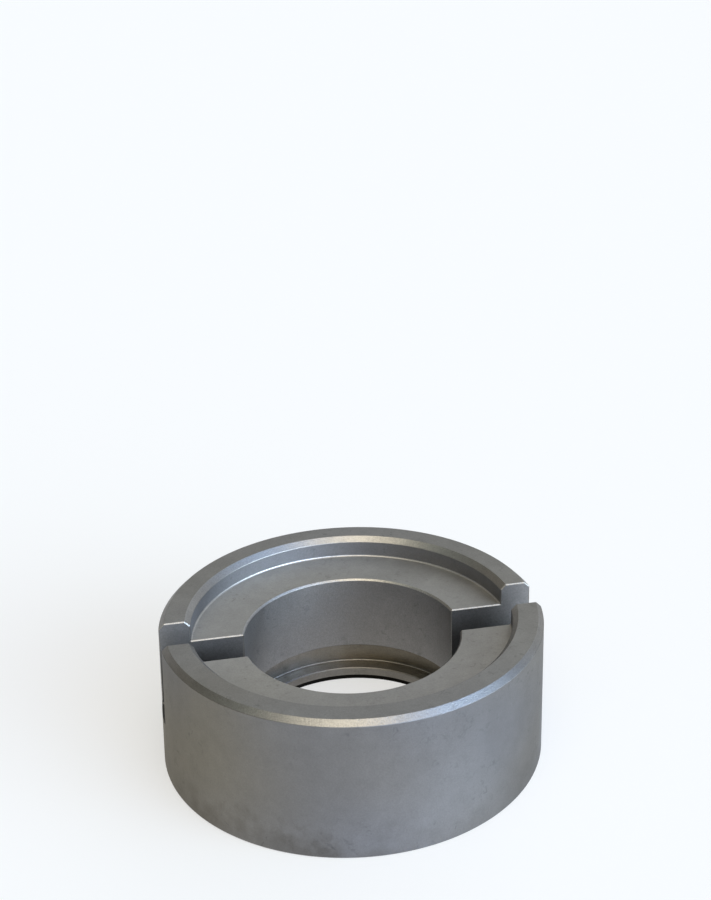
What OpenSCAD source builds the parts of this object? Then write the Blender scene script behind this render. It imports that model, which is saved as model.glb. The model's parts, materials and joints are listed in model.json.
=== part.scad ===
// Rotating bearing seal ring, turned from one stainless bar and slotted across
// its working end. The plain end stands on the XY plane, the ring's axis is Z
// and the drive slot runs along X.

/* [Ring] */
// Outside diameter of the ring
ring_od = 57.15; // [53:0.05:70]
// Height of the ring over its two end faces
ring_h = 21.4; // [20:0.1:30]
// Chamfer round the outside of the slotted end
rim_chamfer = 0.8; // [0.2:0.1:1.5]
// Edge break round the outside of the plain end
base_chamfer = 0.2; // [0.1:0.1:1.5]

/* [Face recess] */
// Diameter of the flat recess in the slotted end
recess_d = 47.9; // [42:0.1:51]
// Depth of the recess below the rim
recess_depth = 3.3; // [1.5:0.1:5]
// Chamfer round the mouth of the recess
recess_chamfer = 0.8; // [0.2:0.1:1.2]
// Fillet between the recess wall and its floor
recess_fillet = 0.3; // [0.1:0.05:0.6]

/* [Bore] */
// Diameter of the shaft bore
bore_d = 32.35; // [28:0.05:36]
// Chamfer where the bore opens into the recess
bore_chamfer = 0.25; // [0.1:0.05:1]
// Length of the lead-in taper of the bore at the plain end
lead_in = 0.85; // [0.3:0.05:1.5]
// Angle of the lead-in taper to the ring's axis
lead_in_angle = 20; // [15:1:45]

/* [Packing groove] */
// Height of the lip under the groove, from the plain end
lip_h = 2.15; // [1.9:0.05:3.2]
// Width of the groove along the axis
groove_w = 4.1; // [2:0.1:4.6]
// Depth of the groove outside the bore
groove_depth = 2.35; // [1:0.05:4]
// Fillet in the two inner corners of the groove
groove_fillet = 0.35; // [0.1:0.05:0.8]

/* [Drive slot] */
// Width of the slot across the ring
slot_w = 6; // [4:0.1:10]
// Depth of the slot below the rim
slot_depth = 13.2; // [6:0.1:13.5]
// Fillet in the two corners of the slot's floor
slot_fillet = 0.4; // [0.1:0.05:1]
// Size of the broken sharp edges at the slot and the groove
edge_break = 0.15; // [0.05:0.05:0.25]

/* [Hidden] */
$fn = 96;

// Reach of a cut past the face it opens through, and of a fillet into its walls
over = 1;
steel = [0.36, 0.36, 0.35];

ring_r = ring_od / 2;
recess_r = recess_d / 2;
bore_r = bore_d / 2;
groove_r = bore_r + groove_depth;
groove_top = lip_h + groove_w;
floor_z = ring_h - recess_depth;
slot_z = ring_h - slot_depth;
slot_y = slot_w / 2;

// Distance along the slot wall at which it meets a circle of radius r
function at_slot(r) = sqrt(r * r - slot_y * slot_y);

// Fills the corner between the X and Y axes with a fillet, and laps both walls
module corner_fillet(r) {
    difference() {
        translate([-over / 2, -over / 2]) square(r + over / 2);
        translate([r, r]) circle(r);
    }
}

// Turned section without the groove, as radius and height
module bar_section() {
    polygon([
        [bore_r + lead_in * tan(lead_in_angle), 0],
        [ring_r - base_chamfer, 0],
        [ring_r, base_chamfer],
        [ring_r, ring_h - rim_chamfer],
        [ring_r - rim_chamfer, ring_h],
        [recess_r + recess_chamfer, ring_h],
        [recess_r, ring_h - recess_chamfer],
        [recess_r, floor_z],
        [bore_r + bore_chamfer, floor_z],
        [bore_r, floor_z - bore_chamfer],
        [bore_r, lead_in]
    ]);
}

// Groove with broken mouth edges, opening towards the axis
module groove_section() {
    polygon([
        [bore_r - over, lip_h - edge_break - over],
        [bore_r + edge_break, lip_h],
        [groove_r, lip_h],
        [groove_r, groove_top],
        [bore_r + edge_break, groove_top],
        [bore_r - over, groove_top + edge_break + over]
    ]);
}

// Whole turned section: the bar, its groove and the fillets in their corners
module ring_section() {
    difference() {
        bar_section();
        groove_section();
    }
    translate([recess_r, floor_z]) mirror([1, 0]) corner_fillet(recess_fillet);
    translate([groove_r, lip_h]) mirror([1, 0]) corner_fillet(groove_fillet);
    translate([groove_r, groove_top]) rotate(180) corner_fillet(groove_fillet);
}

// Cross section of the slot cutter, with its floor on the Y axis
module slot_section() {
    difference() {
        translate([-slot_y, 0]) square([slot_w, slot_depth + over]);
        for (side = [0, 1])
            mirror([side, 0]) translate([-slot_y, 0]) corner_fillet(slot_fillet);
    }
}

// Cutter for the drive slot, right across the ring
module slot_cutter() {
    length = ring_od + 2 * over;
    translate([-length / 2, 0, slot_z])
        rotate([90, 0, 90])
            linear_extrude(length) slot_section();
}

// Square rod along X that takes a small 45 degree flat off the edge it lies on
module edge_rod(length) {
    side = edge_break * sqrt(2);
    rotate([45, 0, 0]) cube([length, side, side], center = true);
}

// Rod along the slot's edge on a rim chamfer, from its top radius to its low radius
module chamfer_rod(top_r, low_r, drop) {
    run = at_slot(low_r) - at_slot(top_r);
    translate([(at_slot(top_r) + at_slot(low_r)) / 2, 0, ring_h - drop / 2])
        rotate([0, atan2(drop, run), 0])
            edge_rod(norm([run, drop]));
}

// Upright rod on the slot's edge at a turned wall of radius r, between two heights
module upright_rod(r, low, high) {
    translate([at_slot(r), 0, (low + high) / 2])
        rotate([0, 90, 0]) edge_rod(high - low);
}

// Broken edges along one wall of the slot, laid on the edge at Y = 0
module slot_edge_breaks() {
    wall_foot = slot_z + slot_fillet;
    translate([0, 0, ring_h]) edge_rod(ring_od);
    translate([0, 0, floor_z]) edge_rod(2 * at_slot(recess_r));
    for (side = [0, 1]) mirror([side, 0, 0]) {
        chamfer_rod(recess_r + recess_chamfer, recess_r, recess_chamfer);
        chamfer_rod(ring_r - rim_chamfer, ring_r, rim_chamfer);
        upright_rod(bore_r, wall_foot, floor_z);
        upright_rod(recess_r, floor_z, ring_h - recess_chamfer);
        upright_rod(ring_r, wall_foot, ring_h - rim_chamfer);
    }
}

module seal_ring() {
    color(steel) difference() {
        rotate_extrude() ring_section();
        slot_cutter();
        for (side = [-1, 1])
            translate([0, side * slot_y, 0]) slot_edge_breaks();
    }
}

seal_ring();
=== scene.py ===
"""Looks of the bearing seal ring: blasted stainless steel on a pale floor."""

import json
import math

import bmesh
import bpy
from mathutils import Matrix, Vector

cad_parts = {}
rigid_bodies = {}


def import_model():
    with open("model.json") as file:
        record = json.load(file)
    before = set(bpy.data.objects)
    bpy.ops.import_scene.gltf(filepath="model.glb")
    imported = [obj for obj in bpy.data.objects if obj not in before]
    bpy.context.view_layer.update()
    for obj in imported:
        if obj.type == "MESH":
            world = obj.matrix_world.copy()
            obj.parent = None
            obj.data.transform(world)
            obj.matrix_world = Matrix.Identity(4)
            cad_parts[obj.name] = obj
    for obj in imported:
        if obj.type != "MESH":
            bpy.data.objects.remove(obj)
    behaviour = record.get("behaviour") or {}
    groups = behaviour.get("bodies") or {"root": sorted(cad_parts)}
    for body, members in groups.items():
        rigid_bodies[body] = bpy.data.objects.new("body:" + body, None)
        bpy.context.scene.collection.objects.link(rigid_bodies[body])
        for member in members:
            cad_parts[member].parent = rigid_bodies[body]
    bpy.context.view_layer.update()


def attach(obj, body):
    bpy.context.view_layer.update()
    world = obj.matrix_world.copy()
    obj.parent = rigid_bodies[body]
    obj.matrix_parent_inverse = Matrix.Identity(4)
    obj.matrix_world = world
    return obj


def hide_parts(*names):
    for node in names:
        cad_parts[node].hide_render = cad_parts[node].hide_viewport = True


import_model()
scene = bpy.context.scene

MM = 0.001

# The ring's sizes in millimetres and degrees, as in the CAD model
RING_R, RING_H = 28.575, 21.4
RIM_CHAMFER, BASE_CHAMFER = 0.8, 0.2
RECESS_R, RECESS_DEPTH, RECESS_CHAMFER, RECESS_FILLET = 23.95, 3.3, 0.8, 0.3
BORE_R, BORE_CHAMFER, LEAD_IN, LEAD_IN_ANGLE = 16.175, 0.25, 0.85, 20
LIP_H, GROOVE_W, GROOVE_DEPTH, GROOVE_FILLET = 2.15, 4.1, 2.35, 0.35
SLOT_W, SLOT_DEPTH, SLOT_FILLET, EDGE_BREAK = 6.0, 13.2, 0.4, 0.15
FLOOR_Z = RING_H - RECESS_DEPTH
SLOT_Z, SLOT_Y = RING_H - SLOT_DEPTH, SLOT_W / 2
GROOVE_R, GROOVE_TOP = BORE_R + GROOVE_DEPTH, LIP_H + GROOVE_W

# Rounding of the turned edges, and the flat beside each as a length and a share of its side
LEAD_IN_ROUND, BASE_ROUND, CHAMFER_ROUND, BORE_ROUND, GROOVE_ROUND = 0.08, 0.05, 0.12, 0.06, 0.04
EDGE_FLAT, EDGE_FLAT_SHARE = 0.03, 0.25

# Fineness of the mesh: steps round the ring and in a slot fillet, degrees in a rounding's step
TURN_STEPS, SLOT_FILLET_STEPS, ARC_STEP = 480, 6, 11
SHARP_ANGLE = 20

# Reach of the slot cutter along X, and its rise above the rim
CUTTER_X, CUTTER_RISE = 32, 2


def rounded(corners):
    """Closed outline whose corners (x, y, radius) are arcs with a narrow flat on each side."""
    points = []
    for i, (x, y, radius) in enumerate(corners):
        p = Vector((x, y))
        a = Vector(corners[i - 1][:2]) - p
        b = Vector(corners[(i + 1) % len(corners)][:2]) - p
        flat = min(EDGE_FLAT, EDGE_FLAT_SHARE * min(a.length, b.length))
        a.normalize()
        b.normalize()
        half = a.angle(b) / 2
        turn = math.pi - 2 * half
        reach = radius / math.tan(half)
        centre = p + (a + b).normalized() * (radius / math.sin(half))
        start, end = p + a * reach - centre, p + b * reach - centre
        points.append(p + a * (reach + flat))
        steps = max(2, round(math.degrees(turn) / ARC_STEP))
        for k in range(steps + 1):
            t = k / steps
            arm = start * math.sin((1 - t) * turn) + end * math.sin(t * turn)
            points.append(centre + arm / math.sin(turn))
        points.append(p + b * (reach + flat))
    return points


def ring_section():
    """Turned section as radius and height, with its edges broken as a deburred part's are."""
    return rounded([
        (BORE_R + LEAD_IN * math.tan(math.radians(LEAD_IN_ANGLE)), 0, LEAD_IN_ROUND),
        (RING_R - BASE_CHAMFER, 0, BASE_ROUND),
        (RING_R, BASE_CHAMFER, BASE_ROUND),
        (RING_R, RING_H - RIM_CHAMFER, CHAMFER_ROUND),
        (RING_R - RIM_CHAMFER, RING_H, CHAMFER_ROUND),
        (RECESS_R + RECESS_CHAMFER, RING_H, CHAMFER_ROUND),
        (RECESS_R, RING_H - RECESS_CHAMFER, CHAMFER_ROUND),
        (RECESS_R, FLOOR_Z, RECESS_FILLET),
        (BORE_R + BORE_CHAMFER, FLOOR_Z, BORE_ROUND),
        (BORE_R, FLOOR_Z - BORE_CHAMFER, BORE_ROUND),
        (BORE_R, GROOVE_TOP + EDGE_BREAK, GROOVE_ROUND),
        (BORE_R + EDGE_BREAK, GROOVE_TOP, GROOVE_ROUND),
        (GROOVE_R, GROOVE_TOP, GROOVE_FILLET),
        (GROOVE_R, LIP_H, GROOVE_FILLET),
        (BORE_R + EDGE_BREAK, LIP_H, GROOVE_ROUND),
        (BORE_R, LIP_H - EDGE_BREAK, GROOVE_ROUND),
        (BORE_R, LEAD_IN, LEAD_IN_ROUND),
    ])


def new_object(name, verts, faces, collection):
    """Closed mesh object from millimetres, with its normals outwards."""
    mesh = bpy.data.meshes.new(name)
    mesh.from_pydata([[c * MM for c in v] for v in verts], [], faces)
    bm = bmesh.new()
    bm.from_mesh(mesh)
    bmesh.ops.recalc_face_normals(bm, faces=bm.faces)
    bm.to_mesh(mesh)
    bm.free()
    obj = bpy.data.objects.new(name, mesh)
    collection.objects.link(obj)
    return obj


def turned(name, outline, collection):
    """Solid turned about Z from an outline of radius and height."""
    n = len(outline)
    angles = [2 * math.pi * k / TURN_STEPS for k in range(TURN_STEPS)]
    verts = [(p.x * math.cos(a), p.x * math.sin(a), p.y) for a in angles for p in outline]
    faces = []
    for k in range(TURN_STEPS):
        here, there = k * n, (k + 1) % TURN_STEPS * n
        for i in range(n):
            j = (i + 1) % n
            faces.append((here + i, there + i, there + j, here + j))
    return new_object(name, verts, faces, collection)


def prism(name, ends, collection):
    """Solid between two outlines with the same number of points."""
    n = len(ends[0])
    faces = [(i, (i + 1) % n, n + (i + 1) % n, n + i) for i in range(n)]
    faces += [tuple(range(n)), tuple(range(n, 2 * n))]
    return new_object(name, ends[0] + ends[1], faces, collection)


def slot_outline():
    """Slot cutter's section as Y and Z, flared at the rim to break its edges."""
    side = [
        (-SLOT_Y - EDGE_BREAK - CUTTER_RISE, RING_H + CUTTER_RISE),
        (-SLOT_Y, RING_H - EDGE_BREAK),
    ]
    for k in range(SLOT_FILLET_STEPS + 1):
        a = math.radians(180 + 90 * k / SLOT_FILLET_STEPS)
        side.append((
            -SLOT_Y + SLOT_FILLET * (1 + math.cos(a)),
            SLOT_Z + SLOT_FILLET * (1 + math.sin(a)),
        ))
    return side + [(-y, z) for y, z in reversed(side)]


def edge_rod(y, start, end, collection):
    """Rod along an edge of the slot, between two (x, z), that leaves a small flat there."""
    a, b = Vector(start), Vector(end)
    along = (b - a).normalized()
    up = Vector((-along.y, along.x)) * EDGE_BREAK
    ring = [(0, EDGE_BREAK), (1, 0), (0, -EDGE_BREAK), (-1, 0)]
    ends = [[(p.x + up.x * k, y + dy, p.y + up.y * k) for k, dy in ring] for p in (a, b)]
    return prism("edge_rod", ends, collection)


def at_slot(radius):
    """X at which a circle of this radius meets the slot's wall."""
    return math.sqrt(radius * radius - SLOT_Y * SLOT_Y)


def make_ring():
    """The turned ring with its slot cut and the slot's edges broken, as one mesh."""
    cutters = bpy.data.collections.new("cutters")
    scene.collection.children.link(cutters)
    section = slot_outline()
    prism("slot", [[(x, y, z) for y, z in section] for x in (-CUTTER_X, CUTTER_X)], cutters)
    top_in, low_in = at_slot(RECESS_R + RECESS_CHAMFER), at_slot(RECESS_R)
    top_out, low_out = at_slot(RING_R - RIM_CHAMFER), at_slot(RING_R)
    bore_x, foot = at_slot(BORE_R), SLOT_Z + SLOT_FILLET
    inner_z, outer_z = RING_H - RECESS_CHAMFER, RING_H - RIM_CHAMFER
    edges = [((-low_in, FLOOR_Z), (low_in, FLOOR_Z))]
    for s in (-1, 1):
        edges += [
            ((s * top_in, RING_H), (s * low_in, inner_z)),
            ((s * top_out, RING_H), (s * low_out, outer_z)),
            ((s * bore_x, foot), (s * bore_x, FLOOR_Z)),
            ((s * low_in, FLOOR_Z), (s * low_in, inner_z)),
            ((s * low_out, foot), (s * low_out, outer_z)),
        ]
    for y in (-SLOT_Y, SLOT_Y):
        for start, end in edges:
            edge_rod(y, start, end, cutters)
    blank = turned("blank", ring_section(), scene.collection)
    cut = blank.modifiers.new("slot", "BOOLEAN")
    cut.operation, cut.solver = "DIFFERENCE", "MANIFOLD"
    cut.operand_type, cut.collection = "COLLECTION", cutters
    graph = bpy.context.evaluated_depsgraph_get()
    mesh = bpy.data.meshes.new_from_object(blank.evaluated_get(graph), depsgraph=graph)
    for obj in [blank, *cutters.objects]:
        bpy.data.objects.remove(obj)
    bpy.data.collections.remove(cutters)
    mesh.name = "seal_ring_turned"
    mesh.materials.clear()
    mesh.shade_smooth()
    mesh.set_sharp_from_angle(angle=math.radians(SHARP_ANGLE))
    piece = bpy.data.objects.new("seal_ring_turned", mesh)
    scene.collection.objects.link(piece)
    return piece


# Reflectance, roughness, painted side shade, grain, painted shade deep in the slot, share of the
# painted light drift and settled warmth of the painted light cast of each machined surface
FINISH_KEYS = ("tone", "rough", "side_shade", "grain", "slot_shade", "light_drift", "light_warmth")
FINISHES = {
    "outside": (0.220, 0.50, 0.0, 0.8, 0, 1.0, 0.45),
    "rim": (0.320, 0.58, 0.0, 0.9, 0, 0.3, 0.55),
    "rim_chamfer": (0.325, 0.32, 0.0, 1.8, 0, 0.3, 0.45),
    "recess_chamfer": (0.360, 0.32, 0.0, 1.8, 0, 0.3, 0.45),
    "recess_floor": (0.412, 0.62, 0.0, 0.9, 0, 0.3, 0.53),
    # The recess fillet's raised tone is a painted highlight along the fillet line
    "recess_fillet": (0.480, 0.34, 0.0, 1.4, 0, 0.3, 0.45),
    "recess_wall": (0.298, 0.50, 0.18, 1.0, 0, 0.1, 0.05),
    "bore_chamfer": (0.430, 0.32, 0.0, 2.4, 0, 0.3, 0.45),
    "bore": (0.326, 0.50, 0.34, 1.4, 0, 0.1, 0.20),
    "groove": (0.265, 0.36, 0.8, 1.4, 0, 0.2, 0.70),
    # The lip top's raised tone is painted light on this ledge inside the groove
    "lip_top": (0.680, 0.40, 0.4, 1.4, 0, 0.2, 0.45),
    "lip_edge": (0.240, 0.46, 0.4, 1.4, 0, 0.2, 0.45),
    "lip": (0.275, 0.50, 0.4, 1.4, 0, 0.2, 0.45),
    # The lead-in's near-black tone is painted shade under the lip
    "lead_in": (0.015, 0.60, 1.0, 1.0, 0, 0.2, 0.45),
    "slot": (0.260, 0.50, 0.0, 1.4, 1, 0.1, 0.30),
    "slot_floor": (0.255, 0.50, 0.0, 1.4, 0.5, 0.1, 0.30),
    # The edge flats' raised tone is partly a brighter deburred edge and partly a painted
    # highlight
    "edge": (0.400, 0.40, 0.0, 2.0, 0, 0.3, 0.45),
    "upright_edge": (0.220, 0.46, 0.0, 1.4, 0, 0.3, 0.45),
    "base": (0.300, 0.50, 0.0, 1.0, 0, 1.0, 0.45),
}

# Margins of the face sorting in millimetres
TIGHT, LOOSE, WIDE = 0.01, 0.05, 0.1
BREAK_SIDE = SLOT_Y + EDGE_BREAK * 1.01
CHAMFER_FOOT = RING_H - RIM_CHAMFER - WIDE

# Shares of a face's normal that tell a face across an axis, an edge, a slope and a fillet
ACROSS, EDGE_SIDE, SLOPE, FILLET_LOW, FILLET_HIGH = 0.95, 0.35, 0.2, 0.15, 0.92


def surface_of(face):
    """Name of the machined surface that a face belongs to."""
    c, n = face.center / MM, face.normal
    r = math.hypot(c.x, c.y)
    if abs(c.y) < BREAK_SIDE and c.z > SLOT_Z - TIGHT:
        if c.z < SLOT_Z + SLOT_FILLET:
            return "slot_floor"
        if abs(n.y) > ACROSS:
            return "slot"
        if abs(n.y) > EDGE_SIDE and abs(c.y) > SLOT_Y - TIGHT:
            return "edge" if n.z > SLOPE else "upright_edge"
    if r > RING_R - LOOSE and c.z > BASE_CHAMFER:
        return "outside"
    if c.z > CHAMFER_FOOT:
        if n.z > ACROSS:
            return "rim"
        return "rim_chamfer" if r > (RING_R + RECESS_R) / 2 else "recess_chamfer"
    if c.z > FLOOR_Z - LOOSE:
        if FILLET_LOW < n.z < FILLET_HIGH:
            return "recess_fillet"
        return "recess_floor" if n.z > FILLET_HIGH else "recess_wall"
    if c.z > FLOOR_Z - BORE_CHAMFER - LOOSE:
        return "bore_chamfer"
    if r < BORE_R + LEAD_IN and n.z < -SLOPE and c.z < LEAD_IN:
        return "lead_in"
    if c.z < BASE_CHAMFER + LOOSE:
        return "base"
    if c.z < LIP_H + WIDE:
        if r > BORE_R + EDGE_BREAK:
            return "lip_top"
        return "lip" if c.z < LIP_H - EDGE_BREAK - LOOSE else "lip_edge"
    return "groove" if r > BORE_R + WIDE and c.z < GROOVE_TOP + WIDE else "bore"


def mark_finishes(mesh):
    """Face attributes that carry each surface's finish, and its painted light and shade, to the
    material.
    """
    names = [surface_of(f) for f in mesh.polygons]
    for i, key in enumerate(FINISH_KEYS):
        layer = mesh.attributes.new(key, "FLOAT", "FACE")
        layer.data.foreach_set("value", [FINISHES[n][i] for n in names])


def node_tools(tree):
    """Helpers that add a node, with its settings and input values, and join two nodes."""

    def add(kind, inputs=None, **settings):
        node = tree.nodes.new("ShaderNode" + kind)
        for key, value in settings.items():
            setattr(node, key, value)
        for key, value in (inputs or {}).items():
            node.inputs[key].default_value = value
        return node

    return add, tree.links.new


def new_material(name):
    """Empty material with the helpers for its nodes."""
    mat = bpy.data.materials.new(name)
    mat.use_nodes = True
    mat.node_tree.nodes.clear()
    return (mat, *node_tools(mat.node_tree))


# Socket numbers of a Mix node, for numbers and for colours
MIX_FACTOR, MIX_A, MIX_B = 0, 2, 3
MIX_COLOUR_A, MIX_COLOUR_B, MIX_COLOUR = 6, 7, 2

# Range in which most of a noise's values lie
MIDDLE = (0.3, 0.7)

# Casts of the steel: unshaded and the brown of the painted shade, and the cool and warm casts of
# painted light
UNSHADED, SHADE_BROWN = (1.0, 0.995, 0.98, 1), (1.0, 0.93, 0.80, 1)
COOL_LIGHT, WARM_LIGHT = (0.96, 0.98, 1.07, 1), (1.05, 0.97, 0.81, 1)
SPECULAR = (0.55, 0.55, 0.55, 1)

# Where the painted shade lies, in millimetres: fading up the outside, growing along X, fading up
# the slot
BASE_SHADE_Z, SIDE_SHADE_X, SLOT_SHADE_Z = (0.0, 5.0), (-6.0, 5.0), (13.0, 17.4)

# Place of a settled surface in the painted light drift of shade, contrast of the blasted speckle
# and its depth
SETTLED_SHADE, SPECKLE, BUMP_DEPTH = 0.45, 0.09, 0.02


def steel_material():
    """Bead blasted stainless steel with handling marks and clouded tone, painted shade low on
    the outside, deep in the slot and on one side of the bore, and painted light drifting warm
    and cool.
    """
    mat, add, join = new_material("blasted_stainless")
    coord = add("TexCoord")
    mm = add("VectorMath", operation="SCALE", inputs={"Scale": 1 / MM})
    join(coord.outputs["Object"], mm.inputs[0])
    place = add("SeparateXYZ")
    join(mm.outputs[0], place.inputs[0])

    def finish(name):
        return add("Attribute", attribute_name=name).outputs["Fac"]

    def noise(scale, detail, roughness, distortion, shift=0):
        node = add("TexNoise", inputs={
            "Scale": scale, "Detail": detail, "Roughness": roughness, "Distortion": distortion,
        })
        moved = add("VectorMath", operation="ADD")
        moved.inputs[1].default_value = (shift, 0, 0)
        join(mm.outputs[0], moved.inputs[0])
        join(moved.outputs[0], node.inputs["Vector"])
        return node.outputs["Fac"]

    def spread(value, low, high, to_low, to_high):
        node = add("MapRange", inputs={
            "From Min": low, "From Max": high, "To Min": to_low, "To Max": to_high,
        })
        join(value, node.inputs["Value"])
        return node.outputs["Result"]

    def combine(operation, a, b):
        node = add("Math", operation=operation)
        join(a, node.inputs[0])
        join(b, node.inputs[1])
        return node.outputs[0]

    def by_light_drift(value):
        node = add("Mix", data_type="FLOAT")
        join(finish("light_drift"), node.inputs[MIX_FACTOR])
        join(value, node.inputs[MIX_B])
        return node

    def tint(factor, at_zero, at_one):
        node = add("Mix", data_type="RGBA", inputs={MIX_COLOUR_A: at_zero, MIX_COLOUR_B: at_one})
        join(factor, node.inputs[MIX_FACTOR])
        return node.outputs[MIX_COLOUR]

    grain = noise(4.5, 3, 0.65, 0.0)
    blotch = noise(0.45, 4, 0.6, 0.3)
    cloud = noise(0.085, 3, 0.5, 0.4, 1600)
    # Painted light and shade: broad patches that lighten and darken the outside as the light
    # falls on it
    light_drift = by_light_drift(noise(0.035, 2, 0.5, 0.4, 23500))
    light_drift.inputs[MIX_A].default_value = SETTLED_SHADE
    # Painted light casts, warm and cool, drifting on the outside and settled per surface
    light_warmth = by_light_drift(spread(noise(0.025, 1, 0.5, 0.4, 18700), 0.35, 0.71, 0, 1))
    join(finish("light_warmth"), light_warmth.inputs[MIX_A])
    marks = combine(
        "MULTIPLY",
        spread(noise(0.9, 2, 0.5, 1.0, 7500), 0.58, 0.75, 0, 1),
        spread(noise(0.13, 1, 0.5, 0.0, 7500), 0.46, 0.58, 0, 1),
    )
    # Painted shade low on the outside: the floor in the ring's own shadow, reflected in the wall
    height = combine("ADD", place.outputs["Z"], spread(blotch, *MIDDLE, -2.0, 2.0))
    low = combine(
        "MULTIPLY",
        spread(height, *BASE_SHADE_Z, 1, 0),
        spread(noise(0.06, 2, 0.5, 0.4, 26100), 0.50, 0.62, 0.15, 1),
    )
    # Painted shade, darker and browner towards +X, on the side of the bore and groove facing
    # away from the light
    side = combine("ADD", place.outputs["X"], spread(blotch, *MIDDLE, -3.0, 3.0))
    side_shade = combine("MULTIPLY", finish("side_shade"), spread(side, *SIDE_SHADE_X, 0, 1))
    # Painted shade deep in the slot, fading up towards the rim
    slot_shade = combine("MULTIPLY", finish("slot_shade"), spread(place.outputs["Z"], *SLOT_SHADE_Z, 1, 0))
    speckle = combine("MULTIPLY", finish("grain"), spread(grain, *MIDDLE, -SPECKLE, SPECKLE))
    tone = finish("tone")
    for shade in (
        spread(speckle, -1, 1, 0, 2),
        spread(blotch, *MIDDLE, 0.95, 1.05),
        spread(cloud, *MIDDLE, 0.95, 1.05),
        spread(light_drift.outputs[0], *MIDDLE, 0.93, 1.13),
        spread(marks, 0, 1, 1.0, 0.84),
        spread(low, 0, 1, 1.0, 0.72),
        spread(slot_shade, 0, 1, 1.0, 0.42),
        spread(side_shade, 0, 1, 1.0, 0.5),
    ):
        tone = combine("MULTIPLY", tone, shade)
    # Brown cast of the painted shade
    shade_cast = combine("MAXIMUM", side_shade, spread(low, 0, 1, 0.0, 0.5))
    cast = add("VectorMath", operation="MULTIPLY")
    join(tint(shade_cast, UNSHADED, SHADE_BROWN), cast.inputs[0])
    join(tint(light_warmth.outputs[0], COOL_LIGHT, WARM_LIGHT), cast.inputs[1])
    colour = add("VectorMath", operation="SCALE")
    join(cast.outputs[0], colour.inputs[0])
    join(tone, colour.inputs["Scale"])
    rough = combine("ADD", finish("rough"), spread(cloud, *MIDDLE, -0.04, 0.04))
    rough = combine("ADD", rough, spread(marks, 0, 1, 0.0, 0.08))
    bump = add("Bump", inputs={"Strength": 1.0, "Distance": BUMP_DEPTH * MM})
    join(combine("MULTIPLY", finish("grain"), grain), bump.inputs["Height"])
    shader = add("BsdfPrincipled", inputs={"Metallic": 1.0, "Specular Tint": SPECULAR})
    join(colour.outputs[0], shader.inputs["Base Color"])
    join(rough, shader.inputs["Roughness"])
    join(bump.outputs[0], shader.inputs["Normal"])
    join(shader.outputs["BSDF"], add("OutputMaterial").inputs["Surface"])
    return mat


# Half width of the floor and its drop below the ring, in metres
FLOOR_HALF, FLOOR_DROP = 3.0, 0.00002

# Colour of the floor, and the share of plain white in it as seen
FLOOR_COLOUR, WHITE_SHARE = (0.9, 0.9, 0.9, 1), 0.5


def floor_material():
    """Pale floor that the camera, and the steel's reflections, see halfway to white."""
    mat, add, join = new_material("pale_floor")
    ray = add("LightPath")
    seen = ray.outputs["Is Camera Ray"]
    for kind in ("Is Glossy Ray", "Is Transmission Ray"):
        either = add("Math", operation="MAXIMUM")
        join(seen, either.inputs[0])
        join(ray.outputs[kind], either.inputs[1])
        seen = either.outputs[0]
    half = add("Math", operation="MULTIPLY", inputs={1: WHITE_SHARE})
    join(seen, half.inputs[0])
    both = add("MixShader")
    join(half.outputs[0], both.inputs["Fac"])
    plain = add("BsdfDiffuse", inputs={"Color": FLOOR_COLOUR})
    join(plain.outputs["BSDF"], both.inputs[1])
    white = add("Emission", inputs={"Strength": 1.0})
    join(white.outputs["Emission"], both.inputs[2])
    join(both.outputs["Shader"], add("OutputMaterial").inputs["Surface"])
    return mat


def make_floor():
    """Wide flat floor just under the ring."""
    mesh = bpy.data.meshes.new("floor")
    corners = [(-1, -1), (1, -1), (1, 1), (-1, 1)]
    verts = [(x * FLOOR_HALF, y * FLOOR_HALF, 0) for x, y in corners]
    mesh.from_pydata(verts, [], [(0, 1, 2, 3)])
    floor = bpy.data.objects.new("floor", mesh)
    floor.location.z = -FLOOR_DROP
    scene.collection.objects.link(floor)
    mesh.materials.append(floor_material())


def direction(azimuth, elevation):
    """Unit vector towards an azimuth, from the front anticlockwise, and an elevation."""
    a, e = math.radians(azimuth), math.radians(elevation)
    return Vector((math.sin(a) * math.cos(e), -math.cos(a) * math.cos(e), math.sin(e)))


# Azimuth of the photo's view
VIEW_AZIMUTH = -13.5

# Soft lights: azimuth from the photo's view, elevation, sharpness and colour
LIGHTS = [
    (45, 10, 7.4, (3.13, 3.47, 3.89)),
    (45, 10, 20, (1.16, 1.63, 2.70)),
    (67.5, 10, 20, (6.25, 7.90, 8.70)),
    (67.5, 35, 7.4, (0.01, 0.29, 0.92)),
    (157.5, 35, 7.4, (0.72, 0.79, 0.86)),
    (300, 60, 7.4, (0.14, 0.22, 0.25)),
    (0, 60, 20, (3.60, 3.18, 2.38)),
]

# Sky, pale horizon and the heights between which one turns into the other
SKY, SKY_STRENGTH = (1.05, 0.95, 0.78, 1), 0.2
HORIZON = (0.70, 0.71, 0.72, 1)
HORIZON_LOW, HORIZON_HIGH = 0.14, 0.18


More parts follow.
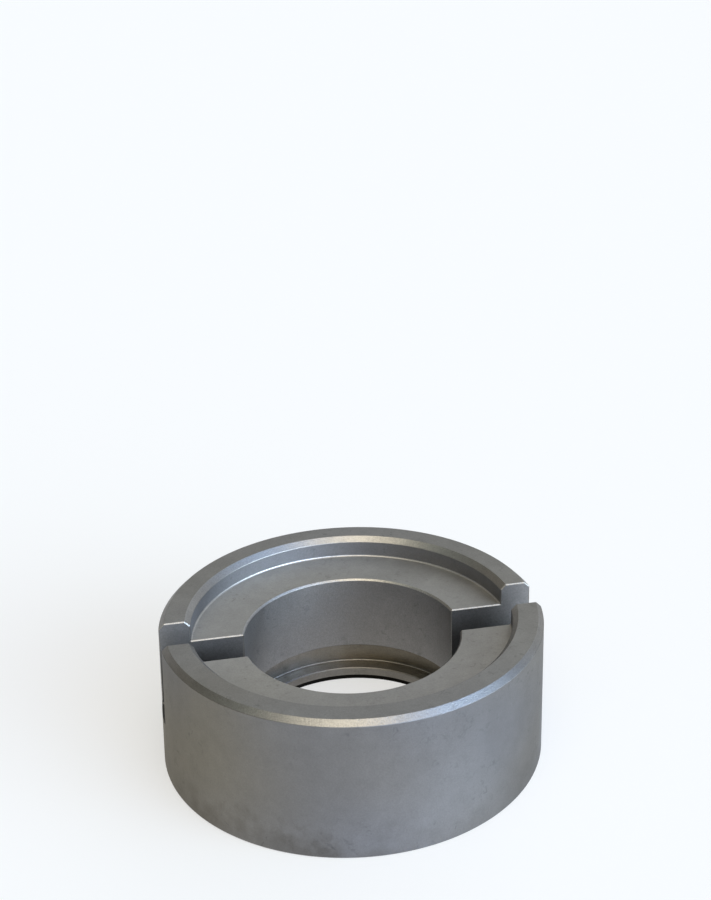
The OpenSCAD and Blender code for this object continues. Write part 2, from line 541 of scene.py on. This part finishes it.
def make_world():
    """Even sky with a pale horizon, and soft round lights in it."""
    world = bpy.data.worlds.new("studio")
    scene.world = world
    world.use_nodes = True
    world.node_tree.nodes.clear()
    add, join = node_tools(world.node_tree)
    ray = add("TexCoord").outputs["Generated"]
    height = add("SeparateXYZ")
    join(ray, height.inputs[0])
    band = add("MapRange", interpolation_type="SMOOTHSTEP", inputs={
        "From Min": HORIZON_LOW, "From Max": HORIZON_HIGH, "To Min": 1.0, "To Max": 0.0,
    })
    join(height.outputs["Z"], band.inputs["Value"])
    sky = add("Background", inputs={"Color": SKY, "Strength": SKY_STRENGTH})
    horizon = add("Background", inputs={"Color": HORIZON})
    mixed = add("MixShader")
    join(band.outputs["Result"], mixed.inputs["Fac"])
    join(sky.outputs[0], mixed.inputs[1])
    join(horizon.outputs[0], mixed.inputs[2])
    total = mixed.outputs[0]
    for azimuth, elevation, sharpness, color in LIGHTS:
        aim = add("VectorMath", operation="DOT_PRODUCT")
        aim.inputs[1].default_value = direction(azimuth + VIEW_AZIMUTH, elevation)
        join(ray, aim.inputs[0])
        fall = add("Math", operation="MULTIPLY_ADD", inputs={1: sharpness, 2: -sharpness})
        join(aim.outputs["Value"], fall.inputs[0])
        glow = add("Math", operation="EXPONENT")
        join(fall.outputs[0], glow.inputs[0])
        light = add("Background", inputs={"Color": (*color, 1)})
        join(glow.outputs[0], light.inputs["Strength"])
        both = add("AddShader")
        join(total, both.inputs[0])
        join(light.outputs[0], both.inputs[1])
        total = both.outputs[0]
    join(total, add("OutputWorld").inputs["Surface"])


# The photo's size, focal length and optical centre in pixels, and the camera's place and turn
IMAGE_W, IMAGE_H = 711, 900
FOCAL, CENTRE_X, CENTRE_Y = 1660, 445, 243
CAMERA_AT = (-0.037985, -0.216996, 0.147704)
CAMERA_TURN = (72.6925, -0.1770, -13.4298)


def make_camera():
    """Camera that shows the ring as the photo does."""
    data = bpy.data.cameras.new("camera")
    data.sensor_width = 36
    data.lens = FOCAL / IMAGE_H * data.sensor_width
    data.shift_x = (IMAGE_W / 2 - CENTRE_X) / IMAGE_H
    data.shift_y = (CENTRE_Y - IMAGE_H / 2) / IMAGE_H
    data.clip_start, data.clip_end = 0.01, 20
    cam = bpy.data.objects.new("camera", data)
    scene.collection.objects.link(cam)
    cam.location = CAMERA_AT
    cam.rotation_euler = [math.radians(a) for a in CAMERA_TURN]
    scene.camera = cam


ring = make_ring()
mark_finishes(ring.data)
ring.data.materials.append(steel_material())
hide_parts("seal_ring")
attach(ring, "root")
make_floor()
make_world()
make_camera()
scene.view_settings.view_transform = "Standard"
